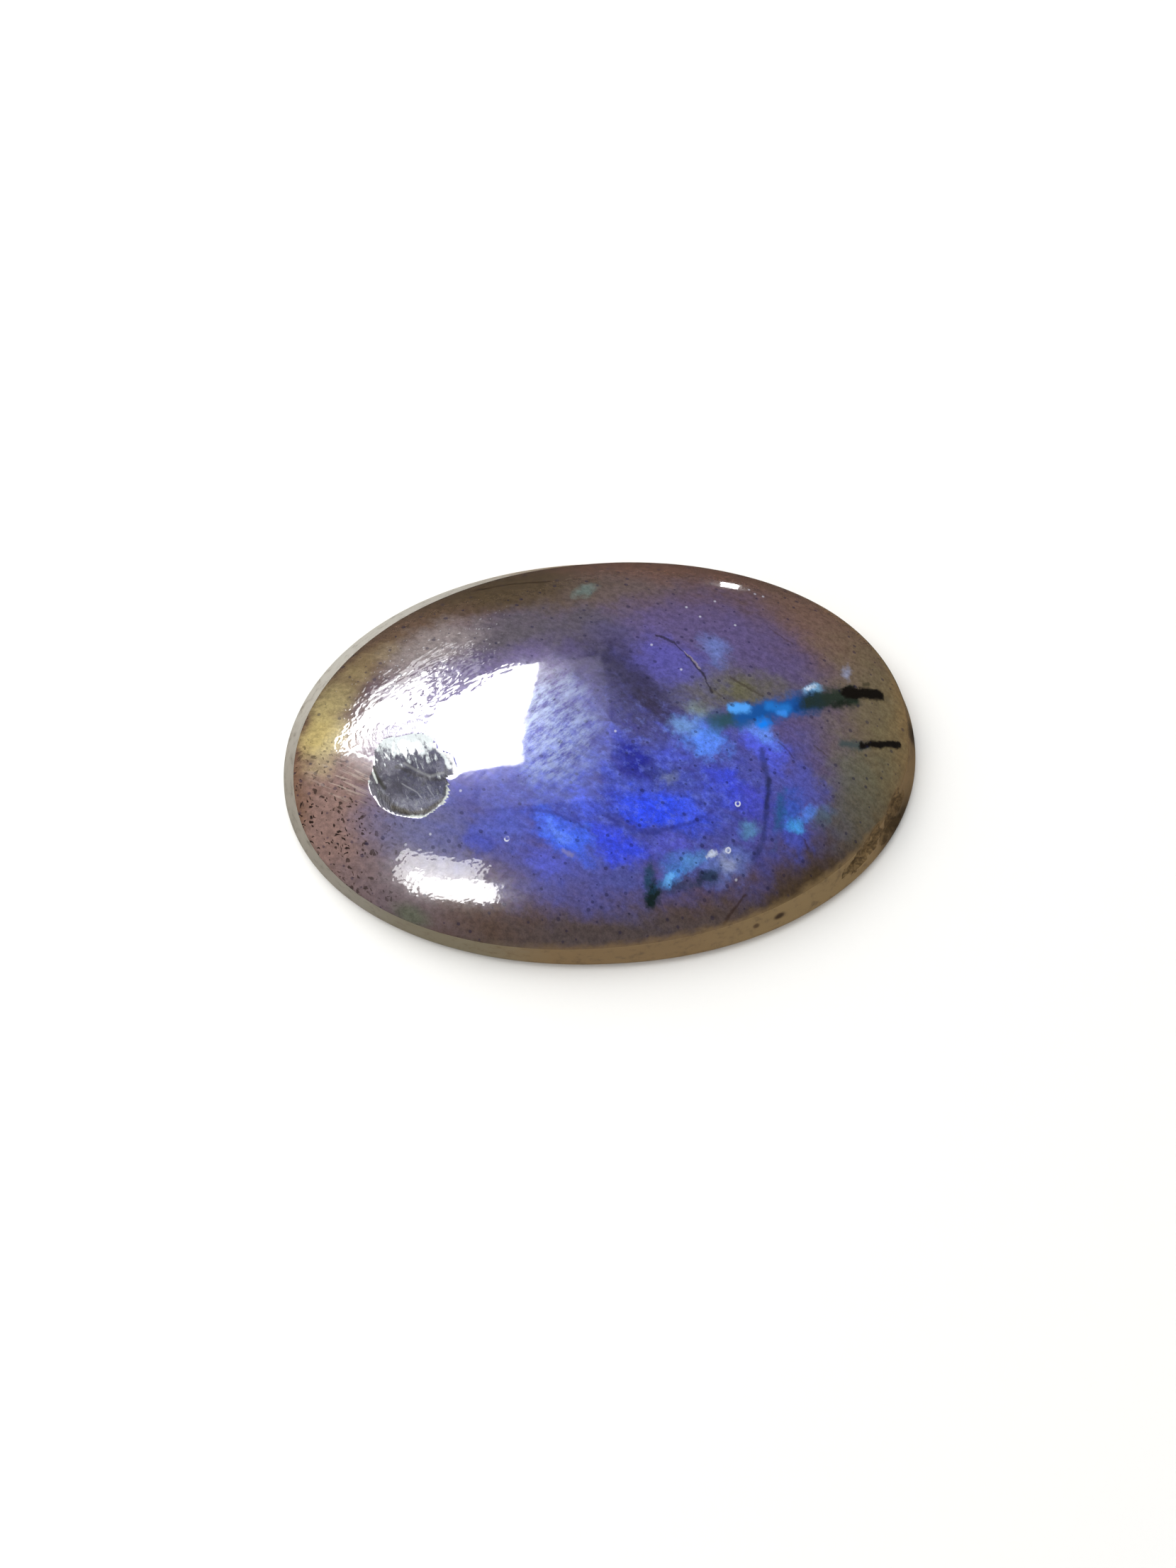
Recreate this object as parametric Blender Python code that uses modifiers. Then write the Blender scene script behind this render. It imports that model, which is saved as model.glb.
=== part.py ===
"""A polished labradorite cabochon: one oval stone with a domed top and a flat ground back.

Standalone Blender 4.5 script, run with:  blender --background --python part.py
Metres, +Z up.  The flat back lies on z = 0, the origin is the middle of the oval there,
and +X runs along the length of the stone.
"""

import math
import random

import bmesh
import bpy
from mathutils import Matrix, Vector, noise
from mathutils.bvhtree import BVHTree

MM = 0.001

# Points nearer to each other than this are one point
SAME_POINT = 0.01 * MM

STONE_COLOUR = (0.115, 0.10, 0.26, 1.0)
STONE_ROUGHNESS = 0.18

# Driving sizes of the stone
LENGTH = 32.0 * MM
WIDTH = 20.9 * MM
HEIGHT = 7.6 * MM

# Outline: a fullness of 2 is a true ellipse, and the stone fills its corners a little more
FULLNESS = 2.07
# Slow waves left in the rim by grinding: lobes, direction of one lobe, height of the wave
RIM_WAVES = (
    (3, math.radians(-27.0), 0.05 * MM),
    (4, math.radians(20.0), 0.05 * MM),
)

# Side wall, from the ground back up to the crease where the dome starts
BACK_BEVEL = 0.40 * MM
WIDEST_HEIGHT = 0.45 * MM
CREASE_HEIGHT = 2.20 * MM
CREASE_INSET = 0.61 * MM
CREASE_ROUND = 0.22 * MM
# The dome was ground a little askew on the wall, so the wall is broad at two of its corners
DOME_TURN = math.radians(3.45)

# Dome: the part of a half ellipse's width that it takes, so that it meets the wall at a slope
DOME_SHARE = 0.93
DOME_RINGS = 21
CORNER_STEPS = 2
TURN_STEPS = 112

# Old chip in the left half of the dome: a thin flake has come off and left a flat, lumpy floor
CHIP_PLACE = (-9.6 * MM, -1.7 * MM)
CHIP_TURN = math.radians(-35.0)
CHIP_RADII = (2.75 * MM, 2.10 * MM)
CHIP_DEPTH = 0.30 * MM
CHIP_WALL_POWER = 0.45
CHIP_LUMP = 0.34 * MM
CHIP_LUMP_SIZE = 1.3 * MM
CHIP_FINENESS = 4

# Ragged stretch of the rim: a chain of small bites that run into each other
RAGGED_FROM = math.radians(-14.0)
RAGGED_TO = math.radians(-28.0)
BITES = 5
BITE_HEIGHT = (1.2 * MM, 2.0 * MM)
BITE_HALF_LENGTH = (0.9 * MM, 1.5 * MM)
BITE_HALF_WIDTH = (0.55 * MM, 0.85 * MM)
BITE_DEPTH = (0.14 * MM, 0.28 * MM)
BITE_REACH = 0.60 * MM
BITE_LUMP = 0.26 * MM
BITE_LUMP_SIZE = 0.7 * MM
BITE_WALL_POWER = 1.0
BITE_FINENESS = 3
BITE_SEED = 5

SMOOTH_BELOW = math.radians(24.0)


def clear_scene():
    """Remove whatever the file holds."""
    for old in list(bpy.data.objects):
        bpy.data.objects.remove(old, do_unlink=True)


def new_collection(name):
    collection = bpy.data.collections.new(name)
    bpy.context.scene.collection.children.link(collection)
    return collection


def stone_material():
    """Plain polished blue-violet feldspar."""
    material = bpy.data.materials.new("labradorite")
    material.use_nodes = True
    shader = material.node_tree.nodes["Principled BSDF"]
    shader.inputs["Base Color"].default_value = STONE_COLOUR
    shader.inputs["Roughness"].default_value = STONE_ROUGHNESS
    shader.inputs["Metallic"].default_value = 0.0
    return material


def rounded_corner(before, corner, after):
    """Points of a small curve that leaves one side of a corner and joins the other."""
    points = []
    for step in range(CORNER_STEPS + 1):
        t = step / CORNER_STEPS
        points.append(before.lerp(corner, t).lerp(corner.lerp(after, t), t))
    return points


def toward(start, end, distance):
    """The point at a distance from start on the way to end."""
    return start + (end - start).normalized() * distance


def dome_profile(crease_radius):
    """Radius and height of each ring of the dome, from its top to just above the crease."""
    top_angle = math.asin(DOME_SHARE)
    foot = math.cos(top_angle)
    points = []
    for ring in range(DOME_RINGS):
        angle = top_angle * ring / DOME_RINGS
        rise = (math.cos(angle) - foot) / (1.0 - foot)
        radius = crease_radius * math.sin(angle) / DOME_SHARE
        points.append(Vector((radius, CREASE_HEIGHT + (HEIGHT - CREASE_HEIGHT) * rise)))
    return points


def stone_profile():
    """The turned profile, from the top of the dome down the outside to the middle of the back."""
    half = LENGTH / 2
    crease = Vector((half - CREASE_INSET, CREASE_HEIGHT))
    widest = Vector((half, WIDEST_HEIGHT))
    back_edge = Vector((half - BACK_BEVEL, 0.0))
    middle = Vector((0.0, 0.0))
    dome = dome_profile(crease.x)
    points = list(dome)
    points += rounded_corner(toward(crease, dome[-1], CREASE_ROUND), crease,
                             toward(crease, widest, CREASE_ROUND))
    points.append(crease.lerp(widest, 0.5))
    points += rounded_corner(toward(widest, crease, CREASE_ROUND), widest,
                             toward(widest, back_edge, CREASE_ROUND))
    points += rounded_corner(toward(back_edge, widest, CREASE_ROUND), back_edge,
                             toward(back_edge, middle, CREASE_ROUND))
    points.append(middle)
    return points


def turned_blank(name, profile):
    """The profile as a mesh, turned once round Z by a Screw modifier."""
    mesh = bpy.data.meshes.new(name)
    edges = [(i, i + 1) for i in range(len(profile) - 1)]
    mesh.from_pydata([(p.x, 0.0, p.y) for p in profile], edges, [])
    blank = bpy.data.objects.new(name, mesh)
    bpy.context.scene.collection.objects.link(blank)
    screw = blank.modifiers.new("Turn", "SCREW")
    screw.axis = "Z"
    screw.angle = math.tau
    screw.steps = TURN_STEPS
    screw.render_steps = TURN_STEPS
    screw.use_merge_vertices = True
    screw.merge_threshold = SAME_POINT
    return blank


def turned_mesh(blank, name):
    """The blank's turned surface as a mesh of its own; the blank is removed."""
    graph = bpy.context.evaluated_depsgraph_get()
    mesh = bpy.data.meshes.new_from_object(blank.evaluated_get(graph))
    mesh.name = name
    old = blank.data
    bpy.data.objects.remove(blank, do_unlink=True)
    bpy.data.meshes.remove(old)
    return mesh


def fuller_outline(angle):
    """How far the rim reaches past a true ellipse in a direction."""
    sides = abs(math.cos(angle)) ** FULLNESS + abs(math.sin(angle)) ** FULLNESS
    reach = sides ** (-1.0 / FULLNESS)
    for lobes, direction, height in RIM_WAVES:
        reach += height / (LENGTH / 2) * math.cos(lobes * (angle - direction))
    return reach


def to_stone_shape(point):
    """Moves a point of the round blank to its place on the oval stone."""
    half = LENGTH / 2
    narrower = (LENGTH - WIDTH) / 2
    crease_radius = half - CREASE_INSET
    radius = math.hypot(point.x, point.y)
    if radius < SAME_POINT:
        return point
    angle = math.atan2(point.y, point.x)
    # Outside the crease the wall keeps the same inset all round; inside it the oval is scaled
    ring = max(radius, crease_radius)
    reach = fuller_outline(angle)
    x = point.x * reach
    y = point.y * reach * (ring - narrower) / ring
    # Only the dome is turned: the wall leads from the straight rim to the turned crease
    climb = (point.z - WIDEST_HEIGHT) / (CREASE_HEIGHT - WIDEST_HEIGHT)
    turn = DOME_TURN * min(max(climb, 0.0), 1.0)
    return Vector((x * math.cos(turn) - y * math.sin(turn),
                   x * math.sin(turn) + y * math.cos(turn),
                   point.z))


def fit_to_size(mesh):
    """Stretches the outline a hair, so that it is exactly LENGTH by WIDTH and centred."""
    for axis, size in ((0, LENGTH), (1, WIDTH)):
        low = min(v.co[axis] for v in mesh.vertices)
        high = max(v.co[axis] for v in mesh.vertices)
        for vertex in mesh.vertices:
            vertex.co[axis] = ((vertex.co[axis] - low) / (high - low) - 0.5) * size


def lumpy_cutter(name, fineness, radii, wall_power, lump, lump_size, collection):
    """A rounded, flattened lump: a low wall_power gives it a flat floor and steep sides."""
    mesh = bpy.data.meshes.new(name)
    ball = bmesh.new()
    bmesh.ops.create_icosphere(ball, subdivisions=fineness, radius=1.0)
    own_noise = Vector((len(name), radii[0] / MM, radii[1] / MM))
    for vertex in ball.verts:
        x, y, z = vertex.co
        steep = math.copysign(abs(z) ** wall_power, z)
        place = Vector((x * radii[0], y * radii[1], steep * radii[2]))
        place += vertex.co * lump * noise.noise(place / lump_size + own_noise)
        vertex.co = place
    ball.to_mesh(mesh)
    ball.free()
    cutter = bpy.data.objects.new(name, mesh)
    cutter.display_type = "WIRE"
    cutter.hide_render = True
    collection.objects.link(cutter)
    return cutter


def spot_on_stone(tree, start, end):
    """Where a straight line from start to end meets the stone, and the way out of it there."""
    place, outward, _, _ = tree.ray_cast(start, (end - start).normalized())
    return place, outward


def laid_along(outward, direction):
    """The turn that points z out of the stone, and x along a direction seen from above."""
    across = outward.cross(Vector((math.cos(direction), math.sin(direction), 0.0))).normalized()
    return Matrix((across.cross(outward), across, outward)).transposed().to_quaternion()


def sink(cutter, place, outward, turn, lift):
    """Sets a cutter on the stone with its own z pointing out, its middle lifted clear."""
    cutter.rotation_mode = "QUATERNION"
    cutter.rotation_quaternion = turn
    cutter.location = place + outward * lift


def cut(stone, cutter):
    boolean = stone.modifiers.new(cutter.name, "BOOLEAN")
    boolean.operation = "DIFFERENCE"
    boolean.solver = "EXACT"
    boolean.object = cutter


def make_stone(collection):
    mesh = turned_mesh(turned_blank("blank", stone_profile()), "cabochon")
    for vertex in mesh.vertices:
        vertex.co = to_stone_shape(vertex.co)
    fit_to_size(mesh)
    mesh.shade_smooth()
    mesh.set_sharp_from_angle(angle=SMOOTH_BELOW)
    mesh.materials.append(stone_material())
    stone = bpy.data.objects.new("cabochon", mesh)
    collection.objects.link(stone)
    return stone


def chip_the_dome(stone, tree, cutters):
    """The shallow scar on top, as deep as the flake that came off."""
    radii = (CHIP_RADII[0], CHIP_RADII[1], 2 * CHIP_DEPTH)
    cutter = lumpy_cutter("dome_chip", CHIP_FINENESS, radii, CHIP_WALL_POWER, CHIP_LUMP,
                          CHIP_LUMP_SIZE, cutters)
    above = Vector((CHIP_PLACE[0], CHIP_PLACE[1], 2 * HEIGHT))
    below = Vector((CHIP_PLACE[0], CHIP_PLACE[1], 0.0))
    place, outward = spot_on_stone(tree, above, below)
    sink(cutter, place, outward, laid_along(outward, CHIP_TURN), CHIP_DEPTH)
    cut(stone, cutter)


def chip_the_rim(stone, tree, cutters):
    """Small bites out of the crease and the wall, along the stretch where the rim is ragged."""
    chance = random.Random(BITE_SEED)
    for number in range(BITES):
        angle = RAGGED_FROM + (RAGGED_TO - RAGGED_FROM) * number / (BITES - 1)
        radii = (chance.uniform(*BITE_HALF_LENGTH), chance.uniform(*BITE_HALF_WIDTH), BITE_REACH)
        cutter = lumpy_cutter(f"rim_bite_{number + 1}", BITE_FINENESS, radii, BITE_WALL_POWER,
                              BITE_LUMP, BITE_LUMP_SIZE, cutters)
        middle = Vector((0.0, 0.0, chance.uniform(*BITE_HEIGHT)))
        outside = middle + Vector((math.cos(angle), math.sin(angle), 0.0)) * LENGTH
        place, outward = spot_on_stone(tree, outside, middle)
        upright = outward.to_track_quat("Z", "Y")
        sink(cutter, place, outward, upright, BITE_REACH - chance.uniform(*BITE_DEPTH))
        cut(stone, cutter)


def build():
    clear_scene()
    parts = new_collection("labradorite_cabochon")
    cutters = new_collection("cutters")
    stone = make_stone(parts)
    bpy.context.view_layer.update()
    tree = BVHTree.FromObject(stone, bpy.context.evaluated_depsgraph_get())
    chip_the_dome(stone, tree, cutters)
    chip_the_rim(stone, tree, cutters)


build()
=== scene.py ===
import math
import random

import bmesh
import bpy
import numpy as np
from mathutils import Euler, Matrix, Quaternion, Vector, noise
from mathutils.bvhtree import BVHTree


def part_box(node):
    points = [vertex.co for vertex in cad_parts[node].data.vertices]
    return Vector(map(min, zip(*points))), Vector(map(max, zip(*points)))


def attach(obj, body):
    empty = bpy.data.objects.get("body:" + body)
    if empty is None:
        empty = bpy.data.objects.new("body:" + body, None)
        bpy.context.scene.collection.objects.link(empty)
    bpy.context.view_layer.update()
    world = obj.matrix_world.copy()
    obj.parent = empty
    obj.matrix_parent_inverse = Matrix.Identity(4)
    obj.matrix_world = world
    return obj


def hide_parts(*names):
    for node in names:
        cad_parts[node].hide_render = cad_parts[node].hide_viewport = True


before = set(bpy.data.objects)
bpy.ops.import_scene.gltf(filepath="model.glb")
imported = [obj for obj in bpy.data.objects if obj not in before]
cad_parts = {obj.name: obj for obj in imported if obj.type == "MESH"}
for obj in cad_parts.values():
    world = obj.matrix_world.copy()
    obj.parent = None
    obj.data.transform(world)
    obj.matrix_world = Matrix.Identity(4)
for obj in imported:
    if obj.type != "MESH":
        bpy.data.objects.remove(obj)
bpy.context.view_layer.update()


# The stone
# One oval of labradorite, sawn from the rough, ground to a low dome on a wheel and polished on
# top. Its wall and its back are only ground. A thin flake has sprung off the dome, and the rim is
# crumbled along one stretch.

MM = 0.001
low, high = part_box("cabochon")
LENGTH, WIDTH, HEIGHT = high - low

# The form, with the same sizes as the solid
FULLNESS = 2.07
RIM_WAVES = ((3, math.radians(-27.0), 0.05 * MM), (4, math.radians(20.0), 0.05 * MM))
BACK_BEVEL = 0.40 * MM
WIDEST_HEIGHT = 0.45 * MM
CREASE_HEIGHT = 2.20 * MM
CREASE_INSET = 0.61 * MM
CREASE_ROUND = 0.22 * MM
DOME_TURN = math.radians(3.45)
DOME_SHARE = 0.93

DOME_CELLS = 240
CREASE_STEPS = 4
WALL_STEPS = 13
CORNER_STEPS = 3
BACK_RINGS = (14.0 * MM, 11.0 * MM, 7.0 * MM, 3.0 * MM)


def flat_disc(cells):
    """A square sheet of cells drawn into a disc of radius 1, in a bmesh."""
    sheet = bmesh.new()
    bmesh.ops.create_grid(sheet, x_segments=cells, y_segments=cells, size=1.0)
    for vertex in sheet.verts:
        x, y = vertex.co.x, vertex.co.y
        reach = max(abs(x), abs(y))
        if reach == 0.0:
            continue
        if abs(x) >= abs(y):
            angle = math.pi / 4 * y / x + (math.pi if x < 0 else 0.0)
        else:
            angle = math.pi / 2 - math.pi / 4 * x / y + (math.pi if y < 0 else 0.0)
        vertex.co = (reach * math.cos(angle), reach * math.sin(angle), 0.0)
    return sheet


def raise_dome(sheet, crease_radius):
    """Lifts the disc to the dome of the round blank, with even steps along its curve."""
    top_angle = math.asin(DOME_SHARE)
    foot = math.cos(top_angle)
    last = 1.0 - CREASE_ROUND / crease_radius
    for vertex in sheet.verts:
        share = vertex.co.length
        angle = top_angle * share * last
        grown = crease_radius * math.sin(angle) / DOME_SHARE
        rise = (math.cos(angle) - foot) / (1.0 - foot)
        if share > 0.0:
            vertex.co *= grown / share
        vertex.co.z = CREASE_HEIGHT + (HEIGHT - CREASE_HEIGHT) * rise


def rounded(before, corner, after, steps):
    """Points of a small curve that leaves one side of a corner and joins the other."""
    points = []
    for step in range(steps + 1):
        t = step / steps
        points.append(before.lerp(corner, t).lerp(corner.lerp(after, t), t))
    return points


def toward(start, end, distance):
    """The point at a distance from start on the way to end."""
    return start + (end - start).normalized() * distance


def rim_profile(dome_edge):
    """Radius and height of each ring below the dome: crease, wall, bevel and back."""
    half = LENGTH / 2
    crease = Vector((half - CREASE_INSET, CREASE_HEIGHT))
    widest = Vector((half, WIDEST_HEIGHT))
    back_edge = Vector((half - BACK_BEVEL, 0.0))
    middle = Vector((0.0, 0.0))
    wall_top = toward(crease, widest, CREASE_ROUND)
    wall_foot = toward(widest, crease, CREASE_ROUND)
    points = rounded(dome_edge, crease, wall_top, CREASE_STEPS)[1:]
    points += [wall_top.lerp(wall_foot, step / WALL_STEPS) for step in range(1, WALL_STEPS)]
    points += rounded(wall_foot, widest, toward(widest, back_edge, CREASE_ROUND), CORNER_STEPS)
    points += rounded(toward(back_edge, widest, CREASE_ROUND), back_edge,
                      toward(back_edge, middle, CREASE_ROUND), CORNER_STEPS)
    points += [Vector((radius, 0.0)) for radius in BACK_RINGS]
    return points


def add_rim(sheet):
    """Draws the dome's edge down the wall and in under the stone, ring by ring."""
    edge = [e for e in sheet.edges if e.is_boundary]
    first = edge[0].verts[0].co
    profile = rim_profile(Vector((first.to_2d().length, first.z)))
    for ring in profile:
        grown = bmesh.ops.extrude_edge_only(sheet, edges=edge)["geom"]
        edge = [g for g in grown if isinstance(g, bmesh.types.BMEdge) and g.is_boundary]
        for vertex in (g for g in grown if isinstance(g, bmesh.types.BMVert)):
            outward = vertex.co.to_2d().normalized() * ring.x
            vertex.co = (outward.x, outward.y, ring.y)
    bmesh.ops.contextual_create(sheet, geom=edge)


def fuller_outline(angle):
    """How far the rim reaches past a true ellipse in each direction."""
    sides = np.abs(np.cos(angle)) ** FULLNESS + np.abs(np.sin(angle)) ** FULLNESS
    reach = sides ** (-1.0 / FULLNESS)
    for lobes, direction, height in RIM_WAVES:
        reach += height / (LENGTH / 2) * np.cos(lobes * (angle - direction))
    return reach


def to_oval(points):
    """Moves the points of the round blank to their places on the oval stone."""
    half = LENGTH / 2
    narrower = (LENGTH - WIDTH) / 2
    x, y, z = points.T
    angle = np.arctan2(y, x)
    ring = np.maximum(np.hypot(x, y), half - CREASE_INSET)
    reach = fuller_outline(angle)
    along = x * reach
    across = y * reach * (ring - narrower) / ring
    climb = (z - WIDEST_HEIGHT) / (CREASE_HEIGHT - WIDEST_HEIGHT)
    turn = DOME_TURN * np.clip(climb, 0.0, 1.0)
    oval = np.column_stack((along * np.cos(turn) - across * np.sin(turn),
                            along * np.sin(turn) + across * np.cos(turn), z))
    for axis, size in ((0, LENGTH), (1, WIDTH)):
        least, most = oval[:, axis].min(), oval[:, axis].max()
        oval[:, axis] = ((oval[:, axis] - least) / (most - least) - 0.5) * size
    return oval


def get_places(mesh):
    """The places of a mesh's points, one row each."""
    places = np.empty(len(mesh.vertices) * 3)
    mesh.vertices.foreach_get("co", places)
    return places.reshape(-1, 3)


def get_normals(mesh):
    """The directions out of the surface at a mesh's points, one row each."""
    normals = np.empty(len(mesh.vertices) * 3)
    mesh.vertices.foreach_get("normal", normals)
    return normals.reshape(-1, 3)


def set_places(mesh, places):
    mesh.vertices.foreach_set("co", places.astype(np.float32).ravel())
    mesh.update()


def grain(places, size, seed):
    """Smooth random values from -1 to 1, one for each place, about as broad as size."""
    shift = Vector((seed, 2.0 * seed, 3.0 * seed))
    return np.array([noise.noise(Vector(p) / size + shift) for p in places])


# The mesh, and which of its faces are dome, wall and back
sheet = flat_disc(DOME_CELLS)
raise_dome(sheet, LENGTH / 2 - CREASE_INSET)
add_rim(sheet)
stone_mesh = bpy.data.meshes.new("stone")
sheet.to_mesh(stone_mesh)
sheet.free()
set_places(stone_mesh, to_oval(get_places(stone_mesh)))
stone = bpy.data.objects.new("stone", stone_mesh)
bpy.context.scene.collection.objects.link(stone)
stone_mesh.shade_smooth()

# Grinding and polishing leave the dome a little wavy, and more so in its upper left part.
# Each wave has a size, a height and a seed.
WAVES = ((6.0 * MM, 0.022 * MM, 3.0), (2.4 * MM, 0.005 * MM, 8.0), (0.8 * MM, 0.0016 * MM, 13.0))
ROUGH_SIDE = Vector((-8.0 * MM, 4.5 * MM))
ROUGH_SIDE_REACH = 6.0 * MM
ROUGH_SIDE_CORE = 0.3
ROUGH_SIDE_WAVE = (0.5 * MM, 0.0035 * MM, 21.0)
BACK_KEEPS_FLAT_BELOW = 1.0 * MM

places = get_places(stone_mesh)
normals = get_normals(stone_mesh)
relief = np.zeros(len(places))
for size, height, seed in WAVES:
    relief += height * grain(places, size, seed)
from_rough_side = np.hypot(places[:, 0] - ROUGH_SIDE.x, places[:, 1] - ROUGH_SIDE.y)
rough_share = np.clip(1.0 + ROUGH_SIDE_CORE - from_rough_side / ROUGH_SIDE_REACH, 0.0, 1.0)
size, height, seed = ROUGH_SIDE_WAVE
relief += height * rough_share * grain(places, size, seed)
relief -= relief.max()
relief *= np.clip(places[:, 2] / BACK_KEEPS_FLAT_BELOW, 0.0, 1.0)
tree = BVHTree.FromPolygons([Vector(p) for p in places], [p.vertices[:] for p in stone_mesh.polygons])
carved = places + normals * relief[:, None]

# A hollow's lumps stay within this share of its own size, squared
LUMPS_WITHIN = 1.5


def press_hollow(points, spot, turn, radii, lift, wall_power, lump, lump_size, seed):
    """Cuts a lumpy hollow into the points, and returns how deep it cuts at each of them.

    The hollow is a rounded lump on the spot, its middle lifted clear of the stone.
    """
    local = (points - np.array(spot)) @ np.array(turn)
    x, y = local[:, 0] / radii[0], local[:, 1] / radii[1]
    near = np.flatnonzero(x * x + y * y < LUMPS_WITHIN)
    down = np.sqrt(np.clip(1.0 - (x * x + y * y)[near], 0.0, 1.0))
    lumps = np.column_stack((local[near, 0], local[near, 1], -(down ** wall_power) * radii[2]))
    lumps = np.array([noise.noise(Vector(p) / lump_size + seed) for p in lumps]) * lump
    wider = 1.0 + lumps / radii[0]
    down = np.sqrt(np.clip(1.0 - (x * x + y * y)[near] / wider ** 2, 0.0, 1.0))
    floor = lift - down ** wall_power * radii[2] - down * lumps
    depth = np.zeros(len(points))
    depth[near] = np.where(down > 0.0, np.clip(local[near, 2] - floor, 0.0, None), 0.0)
    points -= depth[:, None] * np.array(turn.col[2])
    return depth


# The scar of the flake
CHIP_PLACE = Vector((-9.6 * MM, -1.7 * MM))
CHIP_TURN = math.radians(-35.0)
CHIP_RADII = (2.75 * MM, 2.10 * MM)
CHIP_DEPTH = 0.30 * MM
CHIP_WALL_POWER = 0.45
CHIP_LUMP = 0.34 * MM
CHIP_LUMP_SIZE = 1.3 * MM

above = CHIP_PLACE.to_3d() + Vector((0.0, 0.0, 2 * HEIGHT))
spot, outward, _, _ = tree.ray_cast(above, Vector((0.0, 0.0, -1.0)))
seed = Vector((len("dome_chip"), CHIP_RADII[0] / MM, CHIP_RADII[1] / MM))
across = outward.cross(Vector((math.cos(CHIP_TURN), math.sin(CHIP_TURN), 0.0))).normalized()
chip_turn = Matrix((across.cross(outward), across, outward)).transposed()
chip_depth = press_hollow(carved, spot, chip_turn, (*CHIP_RADII, 2 * CHIP_DEPTH), CHIP_DEPTH,
                          CHIP_WALL_POWER, CHIP_LUMP, CHIP_LUMP_SIZE, seed)

# Ripples that the crack left in the floor as it ran, and a ledge where it changed its level
STRIKE_PLACE = Vector((-8.2 * MM, 0.6 * MM))
RIPPLE_STEP = 0.62 * MM
RIPPLE_HEIGHT = 0.012 * MM
RIPPLE_WANDER = (1.2 * MM, 0.5 * MM, 33.0)
SCAR_GRAIN = ((0.7 * MM, 0.020 * MM, 31.0), (0.32 * MM, 0.014 * MM, 37.0))
LEDGE_MIDDLE = Vector((-9.9 * MM, -4.1 * MM))
LEDGE_REACH = 2.75 * MM
LEDGE_WANDER = (0.9 * MM, 0.35 * MM, 41.0)
LEDGE_WIDTH = 0.12 * MM
LEDGE_DROP = 0.040 * MM
RELIEF_FULL_FROM = 0.5 * CHIP_DEPTH

in_scar = np.flatnonzero(chip_depth > 0.0)
run = np.hypot(*(places[in_scar, :2] - np.array(STRIKE_PLACE)).T)
size, height, seed = RIPPLE_WANDER
run += height * grain(places[in_scar], size, seed)
scar_relief = RIPPLE_HEIGHT * np.sin(run / RIPPLE_STEP * math.tau)
for size, height, seed in SCAR_GRAIN:
    scar_relief += height * grain(places[in_scar], size, seed)
past_ledge = LEDGE_REACH - np.hypot(*(places[in_scar, :2] - np.array(LEDGE_MIDDLE)).T)
size, height, seed = LEDGE_WANDER
past_ledge += height * grain(places[in_scar], size, seed)
scar_relief -= LEDGE_DROP * np.clip(past_ledge / LEDGE_WIDTH, 0.0, 1.0)
full_depth = np.clip(chip_depth[in_scar] / RELIEF_FULL_FROM, 0.0, 1.0)
carved[in_scar] += np.array(chip_turn.col[2]) * (scar_relief * full_depth)[:, None]

# The crumbled stretch of the rim, as small bites that run into each other
RAGGED_FROM = math.radians(-14.0)
RAGGED_TO = math.radians(-28.0)
BITES = 5
BITE_HEIGHT = (1.2 * MM, 2.0 * MM)
BITE_HALF_LENGTH = (0.9 * MM, 1.5 * MM)
BITE_HALF_WIDTH = (0.55 * MM, 0.85 * MM)
BITE_DEPTH = (0.14 * MM, 0.28 * MM)
BITE_REACH = 0.60 * MM
BITE_LUMP = 0.26 * MM
BITE_LUMP_SIZE = 0.7 * MM
BITE_SEED = 5

chance = random.Random(BITE_SEED)
bite_depth = np.zeros(len(carved))
for number in range(BITES):
    angle = RAGGED_FROM + (RAGGED_TO - RAGGED_FROM) * number / (BITES - 1)
    radii = (chance.uniform(*BITE_HALF_LENGTH), chance.uniform(*BITE_HALF_WIDTH), BITE_REACH)
    middle = Vector((0.0, 0.0, chance.uniform(*BITE_HEIGHT)))
    outside = middle + Vector((math.cos(angle), math.sin(angle), 0.0)) * LENGTH
    spot, outward, _, _ = tree.ray_cast(outside, (middle - outside).normalized())
    lift = BITE_REACH - chance.uniform(*BITE_DEPTH)
    seed = Vector((len(f"rim_bite_{number + 1}"), radii[0] / MM, radii[1] / MM))
    upright = outward.to_track_quat("Z", "Y").to_matrix()
    bite_depth += press_hollow(carved, spot, upright, radii, lift, 1.0,
                               BITE_LUMP, BITE_LUMP_SIZE, seed)
set_places(stone_mesh, carved)

# Which faces are dome, wall, back and fresh break
BROKEN_FROM = 0.02 * MM
DOME_FROM = CREASE_HEIGHT - 0.12 * MM
WALL_FROM = 0.02 * MM
DOME, WALL, BACK, BREAK = range(4)

centres = np.empty(len(stone_mesh.polygons) * 3)
stone_mesh.polygons.foreach_get("center", centres)
face_heights = centres.reshape(-1, 3)[:, 2]
finishes = np.where(face_heights > DOME_FROM, DOME, np.where(face_heights > WALL_FROM, WALL, BACK))
is_broken = (chip_depth + bite_depth) > BROKEN_FROM
for face in stone_mesh.polygons:
    if len(face.vertices) == 4 and is_broken[list(face.vertices)].any():
        finishes[face.index] = BREAK


# Nodes of the materials
def put(tree, kind, inputs=None, **settings):
    """Adds a node with its settings, and feeds or fills its sockets."""
    node = tree.nodes.new(kind)
    for name, value in settings.items():
        setattr(node, name, value)
    for socket, value in (inputs or {}).items():
        if isinstance(value, bpy.types.NodeSocket):
            tree.links.new(value, node.inputs[socket])
        else:
            node.inputs[socket].default_value = value
    return node


def maths(tree, operation, *values):
    """One sum on numbers."""
    return put(tree, "ShaderNodeMath", dict(enumerate(values)), operation=operation).outputs[0]


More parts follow.
